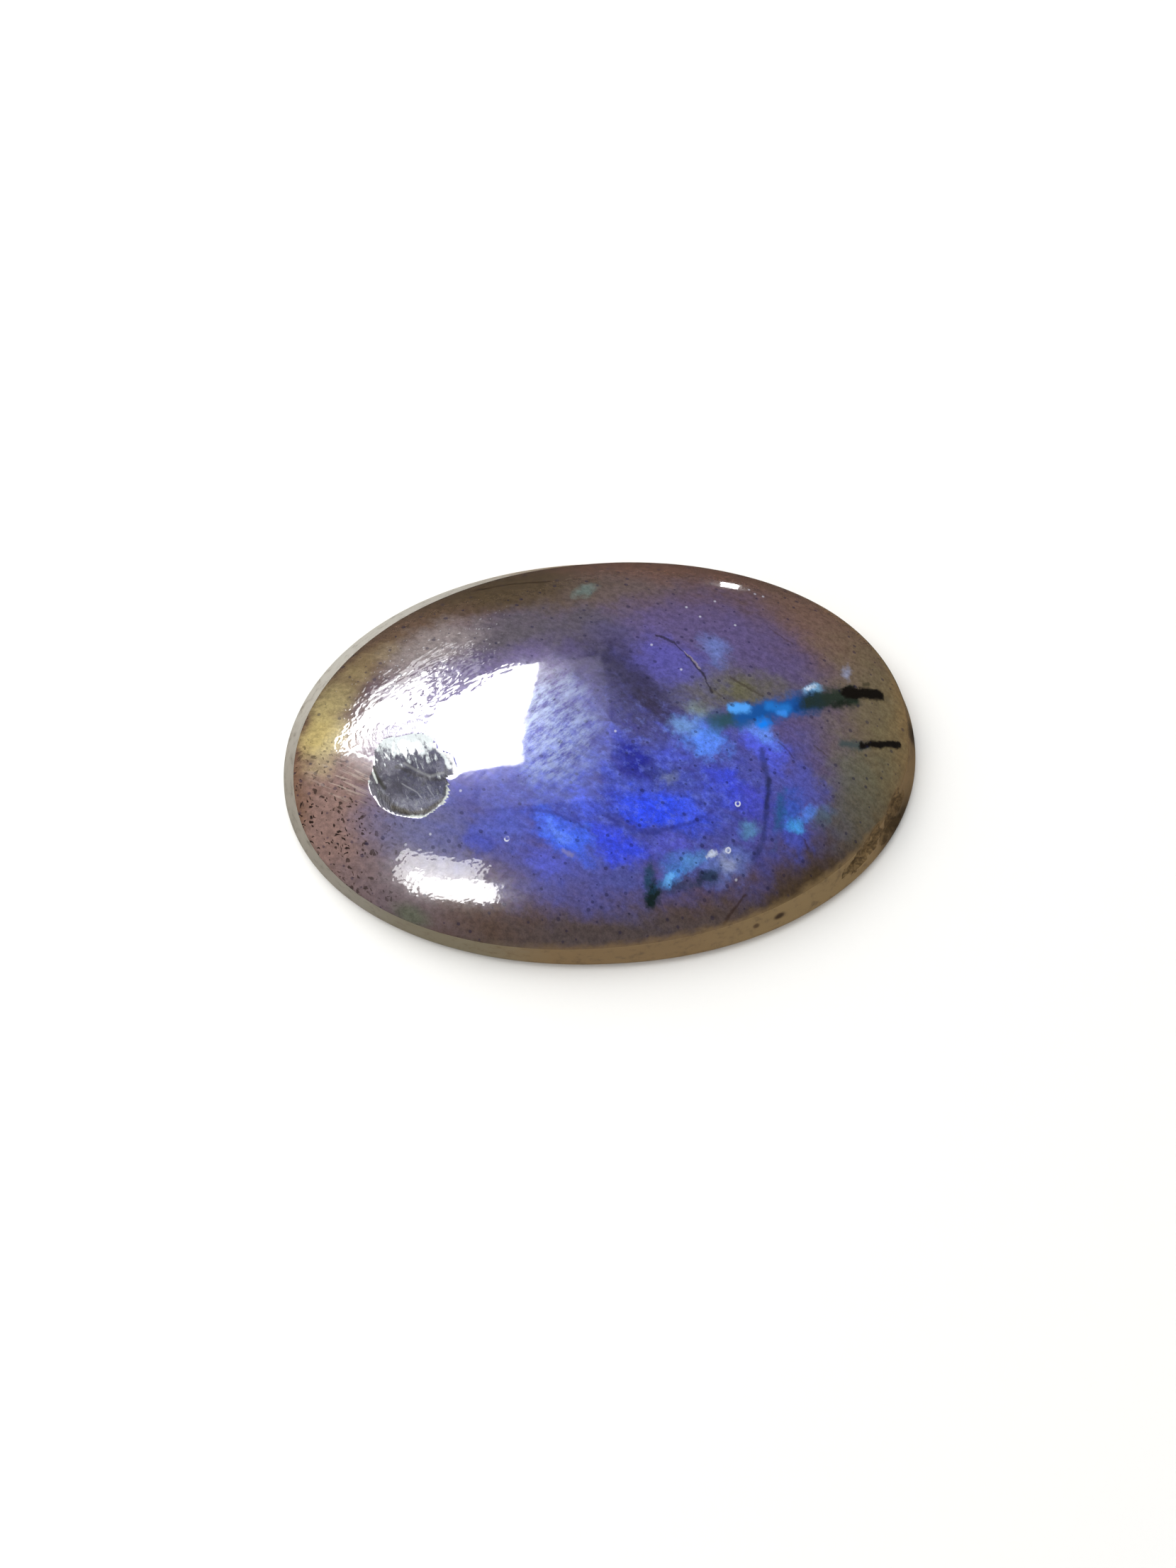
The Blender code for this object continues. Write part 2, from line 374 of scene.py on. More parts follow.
def vector_maths(tree, operation, *values):
    """One sum on places."""
    node = put(tree, "ShaderNodeVectorMath", dict(enumerate(values)), operation=operation)
    return node.outputs["Value" if operation in ("LENGTH", "DOT_PRODUCT", "DISTANCE") else "Vector"]


def scaled(tree, vector, scale):
    """A place or a colour times a number."""
    return put(tree, "ShaderNodeVectorMath", {0: vector, "Scale": scale}, operation="SCALE").outputs[0]


def blend_colours(tree, share, under, over):
    """One colour laid over another by a share of 0 to 1."""
    return put(tree, "ShaderNodeMix", {0: share, 6: under, 7: over}, data_type="RGBA").outputs[2]


def ramp(tree, value, low_value, high_value, low_result=0.0, high_result=1.0):
    """A smooth step of a value between two limits."""
    inputs = {"Value": value, "From Min": low_value, "From Max": high_value,
              "To Min": low_result, "To Max": high_result}
    return put(tree, "ShaderNodeMapRange", inputs, interpolation_type="SMOOTHSTEP").outputs[0]


def cloud(tree, place, scale, detail=3.0, roughness=0.5, colour=False):
    """Smooth noise; scale is in features per millimetre."""
    inputs = {"Vector": place, "Scale": scale, "Detail": detail, "Roughness": roughness}
    return put(tree, "ShaderNodeTexNoise", inputs).outputs["Color" if colour else "Fac"]


def new_group(name, inputs, outputs):
    """A node group, what it is given and what it puts out."""
    tree = bpy.data.node_groups.new(name, "ShaderNodeTree")
    for way, sockets in (("INPUT", inputs), ("OUTPUT", outputs)):
        for label, kind in sockets.items():
            tree.interface.new_socket(label, in_out=way, socket_type="NodeSocket" + kind)
    return tree, tree.nodes.new("NodeGroupInput").outputs, tree.nodes.new("NodeGroupOutput").inputs


def seen(red, green, blue):
    """A colour as the eye sees it, 0 to 255, made linear."""
    def linear(value):
        share = value / 255
        return share / 12.92 if share < 0.04045 else ((share + 0.055) / 1.055) ** 2.4
    return (linear(red), linear(green), linear(blue), 1.0)


def along_grain(tree, place, turn, length, width):
    """The place turned and shrunk, so that what is drawn on it comes out long and narrow."""
    turned = put(tree, "ShaderNodeVectorRotate", {"Vector": place, "Angle": -turn},
                 rotation_type="Z_AXIS").outputs[0]
    return vector_maths(tree, "DIVIDE", turned, (length, width, 1.0))


# A patch of colour: an oval with a soft and ragged edge
patch_group, given, result = new_group(
    "colour patch",
    {"Place": "Vector", "Middle": "Vector", "Turn": "Float", "Half Size": "Vector",
     "Softness": "Float", "Strength": "Float", "Cloud": "Float", "Raggedness": "Float"},
    {"Mask": "Float"})
t = patch_group
offset = vector_maths(t, "SUBTRACT", given["Place"], given["Middle"])
turn_back = maths(t, "MULTIPLY", given["Turn"], -1.0)
turned = put(t, "ShaderNodeVectorRotate", {"Vector": offset, "Angle": turn_back},
             rotation_type="Z_AXIS").outputs[0]
reach = vector_maths(t, "LENGTH", vector_maths(t, "DIVIDE", turned, given["Half Size"]))
unevenness = maths(t, "MULTIPLY", maths(t, "SUBTRACT", given["Cloud"], 0.5), given["Raggedness"])
reach = maths(t, "ADD", reach, unevenness)
inner = maths(t, "SUBTRACT", 1.0, given["Softness"])
mask = put(t, "ShaderNodeMapRange", {"Value": reach, "From Min": inner, "From Max": 1.0,
                                     "To Min": given["Strength"], "To Max": 0.0},
           interpolation_type="SMOOTHSTEP").outputs[0]
t.links.new(mask, result["Mask"])

# A patch goes straight down through the stone, so its half size upward has no end
ANY_HEIGHT = 1000.0


def patch(tree, place, middle, turn, half_size, softness, strength=1.0, cloudy=0.5, raggedness=0.0):
    """How strong a patch is at a place; turn in degrees."""
    return put(tree, "ShaderNodeGroup",
               {"Place": place, "Middle": (*middle, 0.0), "Turn": math.radians(turn),
                "Half Size": (*half_size, ANY_HEIGHT), "Softness": softness,
                "Strength": strength, "Cloud": cloudy, "Raggedness": raggedness},
               node_tree=patch_group).outputs[0]


# A line from one point to another, with a width
line_group, given, result = new_group(
    "line", {"Place": "Vector", "Start": "Vector", "End": "Vector", "Half Width": "Float"},
    {"Reach": "Float"})
t = line_group
from_start = vector_maths(t, "SUBTRACT", given["Place"], given["Start"])
way = vector_maths(t, "SUBTRACT", given["End"], given["Start"])
share = maths(t, "DIVIDE", vector_maths(t, "DOT_PRODUCT", from_start, way),
              vector_maths(t, "DOT_PRODUCT", way, way))
share = put(t, "ShaderNodeClamp", {"Value": share}).outputs[0]
distance = vector_maths(t, "DISTANCE", from_start, scaled(t, way, share))
t.links.new(maths(t, "DIVIDE", distance, given["Half Width"]), result["Reach"])


def route(tree, place, points, half_width):
    """How far a place lies from a route through some points: 1 at half_width."""
    nearest = None
    for start, end in zip(points, points[1:]):
        reach = put(tree, "ShaderNodeGroup",
                    {"Place": place, "Start": (*start, 0.0), "End": (*end, 0.0),
                     "Half Width": half_width}, node_tree=line_group).outputs[0]
        nearest = reach if nearest is None else maths(tree, "MINIMUM", nearest, reach)
    return nearest


# Specks: short dark needles, all lying one way
speck_group, given, result = new_group(
    "specks", {"Place": "Vector", "Scale": "Float", "Amount": "Float", "Size": "Float"},
    {"Mask": "Float"})
t = speck_group
cells = put(t, "ShaderNodeTexVoronoi", {"Vector": given["Place"], "Scale": given["Scale"]},
            voronoi_dimensions="2D")
luck = put(t, "ShaderNodeSeparateColor", {"Color": cells.outputs["Color"]})
size = maths(t, "MULTIPLY", given["Size"], maths(t, "ADD", 0.4, luck.outputs["Green"]))
mask = ramp(t, maths(t, "DIVIDE", cells.outputs["Distance"], size), 1.0, 0.6)
chosen = maths(t, "LESS_THAN", luck.outputs["Red"], given["Amount"])
t.links.new(maths(t, "MULTIPLY", mask, chosen), result["Mask"])


def specks(tree, place, turn, length, scale, amount, size):
    """Specks that are longer than wide and lie along one direction."""
    return put(tree, "ShaderNodeGroup",
               {"Place": along_grain(tree, place, turn, length, 1.0), "Scale": scale,
                "Amount": amount, "Size": size}, node_tree=speck_group).outputs[0]


# The colours in the stone
# x, y, turn, half length, half width, softness, raggedness, strength, colour
GRAIN_TURN = math.radians(-28.0)
RIM_TONE = (98, 76, 64)
ZONES = (
    (0.6, -0.2, 2, 15.4, 9.9, 0.45, 0.3, 1.0, (94, 82, 126)),
    (11.0, -6.9, 36, 8.4, 3.8, 0.8, 0.6, 0.95, (80, 66, 50)),
    (0.5, -10.4, 2, 14.0, 3.2, 0.7, 0.5, 0.95, (90, 78, 78)),
    (-12.0, -5.6, -48, 7.6, 4.2, 0.8, 0.5, 0.95, (118, 102, 108)),
    (-14.2, -2.8, 80, 6.0, 4.4, 0.8, 0.5, 0.95, (142, 114, 106)),
    (-16.2, -1.6, 85, 7.0, 2.4, 0.8, 0.7, 0.9, (122, 90, 70)),
    (-10.0, 7.5, 27, 11.0, 4.2, 0.8, 0.5, 0.95, (98, 78, 64)),
    (-0.8, 7.4, 2, 7.5, 2.4, 0.8, 0.8, 0.9, (100, 86, 80)),
    (-4.2, 8.1, 5, 6.0, 2.6, 0.8, 0.8, 0.9, (80, 66, 46)),
    (4.0, 10.0, -8, 11.0, 2.8, 0.8, 0.5, 0.9, (116, 84, 72)),
    (-9.0, -4.2, -20, 5.0, 2.8, 0.9, 0.5, 0.9, (112, 112, 150)),
    (0.8, -3.0, -8, 13.6, 5.8, 0.8, 0.6, 1.0, (74, 86, 186)),
    (2.5, 0.8, -10, 8.0, 4.0, 0.9, 0.6, 0.7, (80, 80, 140)),
    (1.2, 0.3, -42, 3.0, 1.9, 0.9, 0.8, 0.8, (66, 64, 108)),
    (-1.8, -7.0, -8, 6.5, 2.4, 0.9, 0.6, 0.8, (88, 92, 172)),
    (5.6, 1.5, -6, 5.8, 2.0, 0.9, 0.6, 1.0, (100, 97, 76)),
    (0.6, 3.0, -42, 5.0, 2.4, 0.9, 0.7, 1.0, (50, 46, 80)),
    (-4.4, 5.2, 8, 4.6, 1.9, 0.9, 0.6, 0.9, (90, 84, 90)),
    # Painted reflection: a pale grey haze above the window's reflection, on the left
    (-8.4, 5.0, 16, 4.0, 1.9, 0.9, 0.8, 0.85, (146, 136, 134)),
    (-0.8, 5.3, 0, 3.2, 1.7, 0.9, 0.8, 0.8, (88, 82, 90)),
    (12.0, 5.2, -42, 6.6, 3.6, 0.8, 0.5, 0.9, (118, 92, 80)),
    (14.6, -0.8, 86, 10.0, 6.2, 0.9, 0.6, 1.0, (120, 108, 80)),
    (11.8, -3.4, 70, 3.6, 2.4, 0.9, 1.2, 0.45, (96, 104, 90)),
    (16.4, 1.6, 84, 9.0, 2.8, 0.9, 0.5, 0.9, (150, 122, 80)),
    (13.6, 6.6, -42, 6.5, 1.7, 0.9, 0.5, 0.9, (150, 112, 80)),
    (9.8, -7.7, 25, 4.4, 1.8, 0.9, 0.6, 0.95, (82, 64, 42)),
    (13.7, -5.2, 56, 4.2, 0.9, 0.9, 0.8, 0.9, (74, 60, 38)),
)
FLASHES = (
    (2.1, -4.2, -12, 3.4, 1.15, 0.8, 1.2, 1.0, (54, 84, 245)),
    (1.6, -4.3, -12, 1.8, 0.7, 0.9, 1.0, 0.8, (48, 78, 255)),
    (3.6, -4.3, -16, 1.1, 0.5, 0.9, 1.0, 0.8, (74, 100, 255)),
    (0.0, -5.8, -32, 2.2, 1.1, 0.8, 1.2, 1.0, (60, 80, 240)),
    (-2.7, -5.1, -38, 2.7, 1.1, 0.8, 1.2, 1.0, (72, 112, 255)),
    (-2.9, -5.0, -38, 1.3, 0.45, 0.9, 1.2, 0.9, (104, 142, 255)),
    (-3.4, -6.2, -30, 1.8, 0.9, 0.9, 1.2, 0.8, (92, 100, 215)),
    (-1.6, -3.9, -35, 1.1, 0.6, 0.9, 1.2, 0.8, (84, 106, 245)),
    (-5.4, -4.6, -20, 2.0, 1.0, 0.9, 1.2, 0.8, (92, 104, 200)),
    (-6.6, -5.0, -30, 1.3, 0.8, 0.9, 1.2, 0.7, (70, 80, 185)),
    (5.4, -3.2, -30, 1.8, 1.0, 0.8, 1.2, 0.9, (64, 80, 228)),
    (6.6, -3.9, -30, 2.0, 0.8, 0.9, 1.2, 0.8, (72, 76, 205)),
    (9.0, -3.3, -30, 2.4, 1.1, 0.8, 1.2, 0.8, (86, 90, 180)),
    (7.2, -1.3, -40, 2.2, 1.0, 0.8, 1.2, 0.9, (84, 98, 235)),
    (8.5, -5.3, -40, 1.8, 1.0, 0.8, 1.2, 0.8, (76, 88, 195)),
    (3.2, 2.9, -30, 3.4, 1.9, 0.8, 1.0, 0.8, (88, 84, 168)),
    (0.6, 4.6, -15, 2.4, 1.0, 0.9, 1.0, 0.7, (82, 76, 114)),
    (1.0, -1.9, -50, 1.9, 1.1, 0.8, 1.2, 1.0, (34, 40, 150)),
    (2.4, -2.6, -25, 1.6, 0.7, 0.9, 1.2, 0.8, (60, 66, 124)),
    (5.4, 3.6, -40, 1.3, 0.9, 0.9, 1.2, 0.8, (106, 124, 190)),
    (2.6, -5.9, -10, 1.4, 0.7, 0.9, 1.2, 0.7, (96, 100, 225)),
    (3.2, -6.6, 10, 1.7, 0.8, 0.8, 1.2, 0.8, (80, 120, 205)),
    (5.2, -6.8, -10, 1.7, 1.2, 0.9, 1.2, 0.9, (110, 132, 205)),
    (0.4, -7.4, 5, 1.4, 0.7, 0.9, 1.2, 0.7, (84, 90, 165)),
)
FLECKS = (
    (4.3, -0.9, -30, 1.9, 1.3, 0.9, 1.6, 1.0, (88, 138, 240)),
    (4.5, -1.3, -40, 1.1, 0.6, 0.8, 1.6, 0.9, (92, 140, 255)),
    (3.5, -0.4, -10, 1.2, 0.7, 0.9, 1.6, 0.8, (112, 150, 205)),
    (4.2, 0.4, -10, 1.1, 0.6, 0.9, 1.4, 0.6, (126, 142, 130)),
    (7.2, -0.7, -35, 1.6, 0.7, 0.9, 1.6, 0.9, (104, 146, 245)),
    (10.1, 1.45, 10, 0.78, 0.48, 0.7, 1.2, 1.0, (146, 206, 255)),
    (10.0, 1.6, 20, 0.45, 0.22, 0.8, 1.0, 0.8, (225, 240, 255)),
    (8.7, -5.0, -20, 0.72, 0.5, 0.9, 1.4, 1.0, (80, 186, 255)),
    (9.3, -4.6, 40, 0.9, 0.45, 0.9, 1.6, 0.9, (92, 140, 242)),
    (8.6, -4.3, 80, 1.5, 0.9, 0.9, 1.6, 0.7, (56, 96, 205)),
    (6.4, -5.3, 0, 0.8, 0.6, 0.9, 1.4, 0.9, (92, 140, 190)),
    (2.7, -7.1, 30, 1.3, 0.5, 0.9, 1.6, 0.95, (80, 150, 235)),
    (2.4, -7.3, 30, 0.5, 0.3, 0.8, 1.2, 0.9, (110, 185, 255)),
    (3.6, -6.6, 30, 1.0, 0.5, 0.9, 1.6, 0.8, (96, 150, 220)),
    (4.5, -6.35, 20, 0.36, 0.20, 0.8, 1.2, 0.95, (206, 216, 238)),
    (5.3, -6.15, 20, 0.26, 0.20, 0.9, 1.6, 0.7, (184, 196, 226)),
    (5.3, -6.7, -20, 0.7, 0.6, 0.9, 1.6, 0.7, (160, 170, 205)),
    (7.9, -4.6, 78, 1.6, 0.45, 0.9, 1.6, 0.8, (36, 92, 140)),
    (10.2, -4.6, 30, 1.0, 0.6, 0.9, 1.4, 0.6, (84, 112, 130)),
    (12.1, 2.6, 80, 0.6, 0.36, 0.9, 1.4, 0.7, (150, 158, 190)),
    (-0.6, 7.5, 30, 1.0, 0.6, 0.9, 1.6, 0.7, (104, 124, 120)),
    (2.6, -2.8, 0, 0.6, 0.4, 0.9, 1.4, 0.6, (126, 138, 180)),
)
GOLD = (
    (-13.6, 0.9, 60, 2.2, 1.6, 0.9, 1.0, 0.9, (206, 190, 140)),
    (-14.0, 1.7, 66, 2.2, 1.1, 0.8, 1.2, 0.9, (188, 168, 108)),
    (-13.2, 3.1, 50, 2.6, 1.5, 0.9, 1.4, 0.75, (164, 150, 106)),
    (-11.6, 4.7, 35, 2.8, 1.2, 0.9, 1.4, 0.6, (140, 122, 86)),
    (-10.0, -7.8, -30, 1.4, 0.6, 0.9, 1.0, 0.6, (88, 104, 74)),
)
DARKS = (
    (1.6, -7.9, 70, 0.85, 0.6, 0.7, 1.2, 1.0, (18, 40, 42)),
    (1.4, -7.2, 80, 1.0, 0.4, 0.9, 1.4, 0.8, (30, 72, 96)),
    (4.3, -7.3, 10, 1.0, 0.55, 0.9, 1.4, 0.85, (30, 52, 70)),
    (2.8, -7.6, 5, 1.6, 0.5, 0.9, 1.4, 0.6, (44, 62, 82)),
    (1.6, 1.8, -45, 2.6, 0.8, 0.9, 1.2, 0.8, (52, 48, 84)),
    (1.3, 1.2, -20, 1.2, 0.6, 0.9, 1.2, 0.6, (48, 42, 66)),
    (5.6, -0.1, 10, 1.1, 0.5, 0.9, 1.4, 0.85, (44, 66, 60)),
    (2.2, 0.5, -40, 1.5, 0.6, 0.9, 1.4, 0.7, (48, 42, 66)),
)
# Routes: points, half width, softness, raggedness, strength, colour
STREAKS = (
    (((5.0, -0.2), (6.4, 0.0), (7.4, 0.15)), 0.75, 0.9, 1.6, 0.8, (44, 84, 100)),
    (((6.4, 0.2), (7.4, 0.3), (8.6, 0.6), (10.0, 0.95)), 0.85, 0.8, 1.5, 0.95, (10, 84, 164)),
    (((7.8, 0.55), (8.6, 0.5)), 0.42, 0.9, 1.6, 0.85, (30, 124, 215)),
    (((9.2, 0.6), (10.0, 0.9)), 0.35, 0.9, 1.4, 0.8, (12, 66, 134)),
    (((9.8, 0.9), (11.0, 1.15), (12.2, 1.4)), 0.80, 0.8, 1.5, 0.95, (34, 50, 40)),
    (((11.2, 0.8), (11.9, 1.0)), 0.35, 0.9, 1.4, 0.8, (20, 32, 24)),
    (((11.9, 1.55), (13.0, 1.60), (13.8, 1.66)), 0.43, 0.6, 1.3, 1.0, (15, 12, 9)),
    (((5.9, 0.45), (6.6, 0.50)), 0.42, 0.9, 1.6, 1.0, (84, 168, 255)),
    (((7.25, -0.35), (7.5, -0.25)), 0.42, 0.9, 1.4, 1.0, (10, 136, 255)),
    (((8.2, 0.3), (8.5, 0.25)), 0.25, 0.9, 1.4, 0.8, (60, 150, 250)),
    (((11.4, -1.15), (12.8, -1.1)), 0.34, 0.9, 1.6, 0.8, (62, 80, 84)),
    (((12.5, -1.08), (13.6, -0.9), (14.6, -0.75)), 0.27, 0.7, 1.8, 1.0, (17, 14, 12)),
    (((13.0, 2.1), (13.2, 2.15)), 0.2, 0.8, 1.0, 0.7, (60, 56, 40)),
)
CRACKS = (
    (((2.6, 4.45), (3.4, 4.0), (4.1, 3.1), (4.7, 2.1), (5.0, 1.3)), 0.09, 0.9, 1.6, 0.8, (38, 34, 46)),
    (((3.85, 3.5), (4.2, 3.05), (4.55, 2.5)), 0.055, 0.6, 1.2, 0.7, (150, 140, 150)),
    (((7.2, -1.5), (7.3, -2.5), (7.5, -3.1), (7.35, -4.0), (7.2, -5.0), (7.0, -5.9), (6.6, -6.5)),
     0.24, 0.95, 1.6, 0.55, (36, 44, 90)),
    (((7.45, -3.0), (7.3, -4.2)), 0.20, 0.95, 1.4, 0.55, (30, 36, 64)),
    (((6.2, -8.0), (5.6, -8.6), (5.2, -9.1)), 0.12, 0.9, 1.2, 0.7, (60, 40, 34)),
    (((8.3, 4.9), (8.9, 4.4), (9.4, 4.0)), 0.07, 0.9, 1.0, 0.5, (66, 50, 58)),
    (((6.0, 2.1), (6.9, 1.4), (7.5, 1.1)), 0.08, 0.9, 1.0, 0.6, (66, 58, 50)),
    (((5.0, 1.4), (5.4, 1.1), (5.9, 0.6)), 0.08, 0.9, 1.0, 0.5, (66, 58, 50)),
    (((8.1, -1.2), (8.8, -1.9)), 0.08, 0.9, 1.0, 0.6, (60, 52, 90)),
    (((9.9, -1.3), (10.6, -1.8)), 0.07, 0.9, 1.0, 0.5, (70, 60, 60)),
    (((9.2, -5.6), (9.4, -6.0)), 0.10, 0.9, 1.0, 0.6, (60, 44, 50)),
    (((-6.0, 8.5), (-4.0, 8.5), (-2.2, 8.4)), 0.09, 0.9, 1.2, 0.8, (44, 30, 18)),
    (((-0.6, -4.4), (0.2, -4.9), (1.4, -5.3), (2.6, -5.1)), 0.22, 0.95, 1.8, 0.55, (46, 50, 140)),
    (((2.6, -5.1), (3.6, -4.9), (4.6, -4.4)), 0.16, 0.95, 1.8, 0.5, (46, 50, 140)),
    (((-4.2, -3.9), (-3.0, -4.1), (-1.4, -5.0)), 0.14, 0.95, 1.8, 0.5, (56, 60, 140)),
    (((-2.7, -5.8), (-2.2, -6.1)), 0.14, 0.9, 1.4, 0.6, (150, 146, 190)),
)


def paint_patches(tree, place, cloudy, colour, patches):
    """Lays patches over a colour, one after the other."""
    for x, y, turn, half_length, half_width, softness, ragged, strength, tone in patches:
        mask = patch(tree, place, (x, y), turn, (half_length, half_width), softness, strength,
                     cloudy, ragged)
        colour = blend_colours(tree, mask, colour, seen(*tone))
    return colour


def paint_routes(tree, place, cloudy, colour, routes):
    """Lays routes over a colour, one after the other."""
    for points, half_width, softness, ragged, strength, tone in routes:
        reach = route(tree, place, points, half_width)
        uneven = maths(tree, "MULTIPLY", maths(tree, "SUBTRACT", cloudy, 0.5), ragged)
        mask = ramp(tree, maths(tree, "ADD", reach, uneven), 1.0 - softness, 1.0, strength, 0.0)
        colour = blend_colours(tree, mask, colour, seen(*tone))
    return colour


body_group, given, result = new_group("labradorite colour", {"Place": "Vector"}, {"Colour": "Color"})
t = body_group
through = vector_maths(t, "MULTIPLY", given["Place"], (1.0, 1.0, 0.0))
stray = vector_maths(t, "SUBTRACT", cloud(t, through, 0.8, 3.0, 0.55, colour=True), (0.5, 0.5, 0.5))
small = vector_maths(t, "SUBTRACT", cloud(t, through, 2.4, 4.0, 0.65, colour=True), (0.5, 0.5, 0.5))
strayed = vector_maths(t, "MULTIPLY_ADD", stray, (1.5, 1.5, 0.0), through)
strayed = vector_maths(t, "MULTIPLY_ADD", small, (0.9, 0.9, 0.0), strayed)
little_stray = vector_maths(t, "MULTIPLY_ADD", small, (0.65, 0.65, 0.0), through)
least_stray = vector_maths(t, "MULTIPLY_ADD", small, (0.30, 0.30, 0.0), through)
streaky = along_grain(t, through, GRAIN_TURN, 1.9, 0.9)
coarse_cloud = cloud(t, streaky, 0.9, 5.0, 0.6)
fine_cloud = cloud(t, along_grain(t, through, GRAIN_TURN, 1.3, 0.9), 2.2, 5.0, 0.7)
colour = paint_patches(t, strayed, coarse_cloud, seen(*RIM_TONE), ZONES)
# The sheen comes and goes in blotches
blotches = cloud(t, along_grain(t, through, GRAIN_TURN, 1.7, 0.8), 0.75, 4.0, 0.6)
sheen_zone = patch(t, strayed, (1.0, -2.8), -12, (10.0, 5.8), 0.7, 0.9, coarse_cloud, 0.5)
bright = maths(t, "MULTIPLY", ramp(t, blotches, 0.50, 0.66), sheen_zone)
dull = maths(t, "MULTIPLY", ramp(t, blotches, 0.50, 0.36), sheen_zone)
colour = blend_colours(t, maths(t, "MULTIPLY", bright, 0.55), colour, seen(74, 90, 222))
colour = blend_colours(t, maths(t, "MULTIPLY", dull, 0.7), colour, seen(72, 68, 140))
colour = paint_patches(t, strayed, coarse_cloud, colour, FLASHES)
lit = maths(t, "MULTIPLY", ramp(t, fine_cloud, 0.50, 0.66, 0.0, 0.32), sheen_zone)
shaded = maths(t, "MULTIPLY", ramp(t, fine_cloud, 0.50, 0.36, 0.0, 0.45), sheen_zone)
colour = blend_colours(t, lit, colour, seen(122, 140, 240))
colour = blend_colours(t, shaded, colour, seen(52, 52, 142))
colour = paint_patches(t, through, coarse_cloud, colour, GOLD)
streak_cloud = cloud(t, through, 1.5, 5.0, 0.65)
colour = paint_patches(t, little_stray, fine_cloud, colour, DARKS)
colour = paint_patches(t, little_stray, streak_cloud, colour, FLECKS)
# Thin growth layers and grains show as paler and darker flecks all through the stone
flecks = cloud(t, along_grain(t, through, GRAIN_TURN, 1.2, 0.9), 3.4, 4.0, 0.85)
colour = scaled(t, colour, ramp(t, flecks, 0.3, 0.7, 0.72, 1.30))
colour = paint_routes(t, least_stray, streak_cloud, colour, STREAKS)
colour = paint_routes(t, least_stray, streak_cloud, colour, CRACKS)
t.links.new(colour, result["Colour"])


# The ground wall: tan on the right, and silvery on the left, which is a painted reflection of pale
# surroundings, with a few dark spots
WALL_TONE = (150, 122, 84)
WALL_ZONES = (
    # Painted reflection: the silvery greys on the left and upper left
    (-13.0, -2.0, 62, 16.0, 9.0, 0.6, 0.4, 0.95, (166, 160, 148)),
    (-8.5, -8.5, -25, 6.0, 3.0, 0.8, 0.6, 0.8, (142, 134, 112)),
    (-10.0, 7.5, 32, 12.5, 5.5, 0.8, 0.6, 0.95, (198, 194, 184)),
    (10.0, -9.0, 25, 9.0, 4.0, 0.8, 0.8, 0.8, (158, 132, 90)),
    (8.1, -8.72, 21, 0.45, 0.14, 0.7, 0.8, 0.95, (60, 40, 26)),
    (6.9, -9.15, 18, 0.25, 0.12, 0.7, 0.8, 0.8, (84, 60, 40)),
    (16.0, 0.2, 0, 1.2, 0.9, 0.8, 0.8, 0.9, (50, 38, 26)),
    (14.8, -4.2, 60, 2.8, 1.0, 0.9, 0.9, 0.9, (62, 49, 32)),
)
wall_group, given, result = new_group("wall colour", {"Place": "Vector"}, {"Colour": "Color"})
t = wall_group
wall_cloud = cloud(t, given["Place"], 1.9, 5.0, 0.7)
flat_place = vector_maths(t, "MULTIPLY", given["Place"], (1.0, 1.0, 0.0))
wall_colour = paint_patches(t, flat_place, wall_cloud, seen(*WALL_TONE), WALL_ZONES)
wall_colour = blend_colours(t, ramp(t, wall_cloud, 0.50, 0.72, 0.0, 0.6), wall_colour, seen(92, 76, 56))
t.links.new(wall_colour, result["Colour"])

# Ribs of the cracks that fan out from the scar's upper edge
RIBS_TURN = math.radians(100)
rib_group, given, result = new_group("crack ribs", {"Place": "Vector"}, {"Ribs": "Float"})
ribs = cloud(rib_group, along_grain(rib_group, given["Place"], RIBS_TURN, 1.5, 0.65), 2.4, 4.0, 0.65)
rib_group.links.new(ribs, result["Ribs"])


def new_material(name):
    """A material and the place on the stone in millimetres."""
    material = bpy.data.materials.new(name)
    material.use_nodes = True
    tree = material.node_tree
    place = put(tree, "ShaderNodeTexCoord").outputs["Object"]
    return material, tree, scaled(tree, place, 1.0 / MM)


# Polished dome
polish, t, place = new_material("polished dome")
body = put(t, "ShaderNodeGroup", {"Place": place}, node_tree=body_group)
colour = body.outputs["Colour"]
# Needles of a dark mineral at the left end: turn, scale, amount, size
NEEDLES = ((-28, 5.2, 0.30, 0.30), (-62, 6.6, 0.22, 0.27), (10, 3.6, 0.14, 0.24))
needle_zone = patch(t, place, (-14.5, -3.2), -58, (8.5, 5.0), 0.9, 1.0, cloud(t, place, 0.7, 3.0), 1.0)
bent = vector_maths(t, "MULTIPLY_ADD", cloud(t, place, 2.0, 2.0, colour=True), (0.5, 0.5, 0.0), place)
for turn, scale, amount, size in NEEDLES:
    needles = specks(t, bent, math.radians(turn), 2.0, scale, amount, size)
    colour = blend_colours(t, maths(t, "MULTIPLY", needles, needle_zone), colour, seen(44, 30, 26))
soft_specks = specks(t, place, GRAIN_TURN, 1.3, 2.1, 0.34, 0.16)
colour = blend_colours(t, maths(t, "MULTIPLY", soft_specks, 0.52), colour, seen(24, 24, 62))
